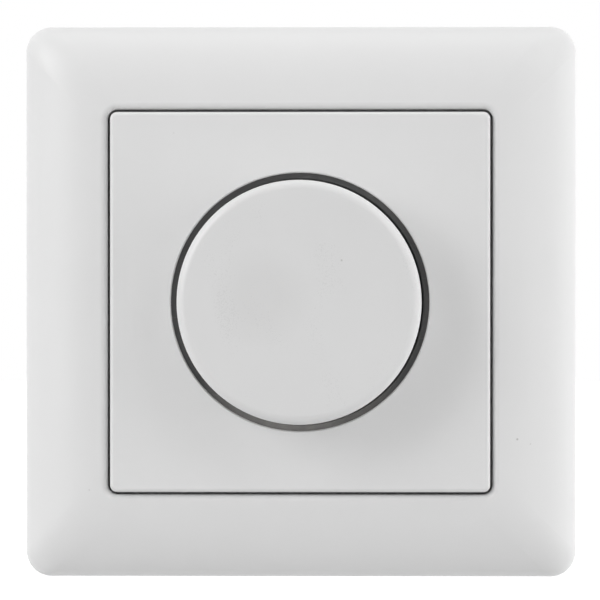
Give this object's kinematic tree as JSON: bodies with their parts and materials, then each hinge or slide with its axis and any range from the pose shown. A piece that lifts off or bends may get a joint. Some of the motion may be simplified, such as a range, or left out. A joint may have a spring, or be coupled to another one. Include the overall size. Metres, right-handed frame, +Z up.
{
  "type": "flush-mounted rotary dimmer switch",
  "caption": "Square white wall dimmer: pillow-shaped cover frame, flat centre plate and a round push-and-turn knob on an insert with spreading claws for a round wall box.",
  "frame": {"origin": "middle of the line between the two box screws, on the wall's surface", "axes": "-Y out of the wall towards the user, +Z up, +X to the user's right"},
  "size_m": [0.0804, 0.0484, 0.0804],
  "materials": {
    "white_cover": "smooth satin white moulding",
    "white_knob": "smooth satin white moulding",
    "dark_plastic": "fine matte moulding",
    "grey_plastic": "matte moulding",
    "zinc_steel": "zinc plated sheet",
    "steel_screw": "zinc plated screw",
    "brass": "plain brass",
    "spring_steel": "bright wire",
    "copper_wire": "enamelled copper",
    "ferrite": "matte powder core",
    "board": "bonded paper board",
    "black_epoxy": "moulded epoxy",
    "film_capacitor": "yellow resin case",
    "capacitor_sleeve": "blue sleeve",
    "resistor_body": "lacquered ceramic",
    "glass": "clear glass tube",
    "insulator": "grey heat pad",
    "carbon_track": "carbon film on board"
  },
  "bodies": {
    "insert": {"cover_frame": "white_cover", "centre_plate": "white_cover", "plate_carrier": "dark_plastic", "carrier_nut": "brass", "bushing_nut": "brass", "lock_washer": "steel_screw", "pot_bushing": "brass", "pot_case": "grey_plastic", "pot_track": "carbon_track", "pot_pins": "brass", "switch_case": "dark_plastic", "fixed_contacts": "brass", "return_spring": "spring_steel", "circuit_board": "board", "triac": "black_epoxy", "insulating_pad": "insulator", "triac_rivet": "steel_screw", "choke_core": "ferrite", "choke_winding": "copper_wire", "film_capacitor": "film_capacitor", "smoothing_capacitor": "capacitor_sleeve", "control_chip": "black_epoxy", "resistors": "resistor_body", "fuse_tube": "glass", "fuse_caps": "zinc_steel", "fuse_wire": "spring_steel", "fuse_clips": "spring_steel", "support_plate": "zinc_steel", "housing_screws": "steel_screw", "housing": "dark_plastic", "rear_cover": "dark_plastic", "terminal_bars": "brass"},
    "plunger": {"switch_plunger": "grey_plastic", "contact_bridge": "brass"},
    "dial": {"knob": "white_knob", "knob_clip": "spring_steel", "pot_shaft": "zinc_steel"},
    "rotor": {"pot_rotor": "grey_plastic", "pot_wiper": "brass"},
    "upper_screw": {"claw_screw_upper": "steel_screw"},
    "upper_nut": {"claw_nut_upper": "brass"},
    "upper_claw": {"claw_upper": "zinc_steel"},
    "lower_screw": {"claw_screw_lower": "steel_screw"},
    "lower_nut": {"claw_nut_lower": "brass"},
    "lower_claw": {"claw_lower": "zinc_steel"},
    "terminal_1_screw": {"terminal_screw_1": "steel_screw"},
    "terminal_1_cage": {"terminal_cage_1": "brass"},
    "terminal_2_screw": {"terminal_screw_2": "steel_screw"},
    "terminal_2_cage": {"terminal_cage_2": "brass"},
    "terminal_3_screw": {"terminal_screw_3": "steel_screw"},
    "terminal_3_cage": {"terminal_cage_3": "brass"},
    "terminal_4_screw": {"terminal_screw_4": "steel_screw"},
    "terminal_4_cage": {"terminal_cage_4": "brass"}
  },
  "joints": [
    {"name": "knob_press", "type": "slide", "parent": "insert", "child": "plunger", "axis": [0, 1, 0], "range_m": [0, 0.0013], "stiffness_N_per_m": 1500, "springref_m": -0.002, "deforming": ["return_spring"]},
    {"name": "knob_turn", "type": "hinge", "parent": "plunger", "child": "dial", "pos_m": [0, 0, 0], "axis": [0, 1, 0], "range_deg": [0, 290]},
    {"name": "rotor_turn", "type": "hinge", "parent": "insert", "child": "rotor", "pos_m": [0, 0, 0], "axis": [0, 1, 0], "range_deg": [0, 290]},
    {"name": "upper_nut_climb", "type": "slide", "parent": "insert", "child": "upper_nut", "axis": [0, -1, 0], "range_m": [0, 0.002]},
    {"name": "upper_screw_turn", "type": "hinge", "parent": "insert", "child": "upper_screw", "pos_m": [0, 0, 0.0269], "axis": [0, 1, 0], "range_deg": [0, 1442]},
    {"name": "upper_claw_spread", "type": "hinge", "parent": "insert", "child": "upper_claw", "pos_m": [0, 0.0054, 0.0226], "axis": [1, 0, 0], "range_deg": [0, 30.2]},
    {"name": "lower_nut_climb", "type": "slide", "parent": "insert", "child": "lower_nut", "axis": [0, -1, 0], "range_m": [0, 0.002]},
    {"name": "lower_screw_turn", "type": "hinge", "parent": "insert", "child": "lower_screw", "pos_m": [0, 0, -0.0269], "axis": [0, 1, 0], "range_deg": [0, 1442]},
    {"name": "lower_claw_spread", "type": "hinge", "parent": "insert", "child": "lower_claw", "pos_m": [0, 0.0054, -0.0226], "axis": [-1, 0, 0], "range_deg": [0, 30.2]},
    {"name": "terminal_1_clamp", "type": "slide", "parent": "insert", "child": "terminal_1_cage", "axis": [-1, 0, 0], "range_m": [0, 0.0024]},
    {"name": "terminal_1_turn", "type": "hinge", "parent": "insert", "child": "terminal_1_screw", "pos_m": [-0.024, 0.0232, -0.0042], "axis": [1, 0, 0], "range_deg": [0, 1730]},
    {"name": "terminal_2_clamp", "type": "slide", "parent": "insert", "child": "terminal_2_cage", "axis": [-1, 0, 0], "range_m": [0, 0.0024]},
    {"name": "terminal_2_turn", "type": "hinge", "parent": "insert", "child": "terminal_2_screw", "pos_m": [-0.024, 0.0232, 0.0042], "axis": [1, 0, 0], "range_deg": [0, 1730]},
    {"name": "terminal_3_clamp", "type": "slide", "parent": "insert", "child": "terminal_3_cage", "axis": [1, 0, 0], "range_m": [0, 0.0024]},
    {"name": "terminal_3_turn", "type": "hinge", "parent": "insert", "child": "terminal_3_screw", "pos_m": [0.024, 0.0232, -0.0042], "axis": [-1, 0, 0], "range_deg": [0, 1730]},
    {"name": "terminal_4_clamp", "type": "slide", "parent": "insert", "child": "terminal_4_cage", "axis": [1, 0, 0], "range_m": [0, 0.0024]},
    {"name": "terminal_4_turn", "type": "hinge", "parent": "insert", "child": "terminal_4_screw", "pos_m": [0.024, 0.0232, 0.0042], "axis": [-1, 0, 0], "range_deg": [0, 1730]}
  ],
  "couplings": [
    {"joint": "rotor_turn", "follows": "knob_turn", "ratio": 1},
    {"joint": "upper_screw_turn", "follows": "upper_nut_climb", "rad_per_m": 12566},
    {"joint": "upper_claw_spread", "follows": "upper_nut_climb", "rad_per_m": 261.8},
    {"joint": "lower_screw_turn", "follows": "lower_nut_climb", "rad_per_m": 12566},
    {"joint": "lower_claw_spread", "follows": "lower_nut_climb", "rad_per_m": 261.8},
    {"joint": "terminal_1_turn", "follows": "terminal_1_clamp", "rad_per_m": 12566},
    {"joint": "terminal_2_turn", "follows": "terminal_2_clamp", "rad_per_m": 12566},
    {"joint": "terminal_3_turn", "follows": "terminal_3_clamp", "rad_per_m": 12566},
    {"joint": "terminal_4_turn", "follows": "terminal_4_clamp", "rad_per_m": 12566}
  ]
}
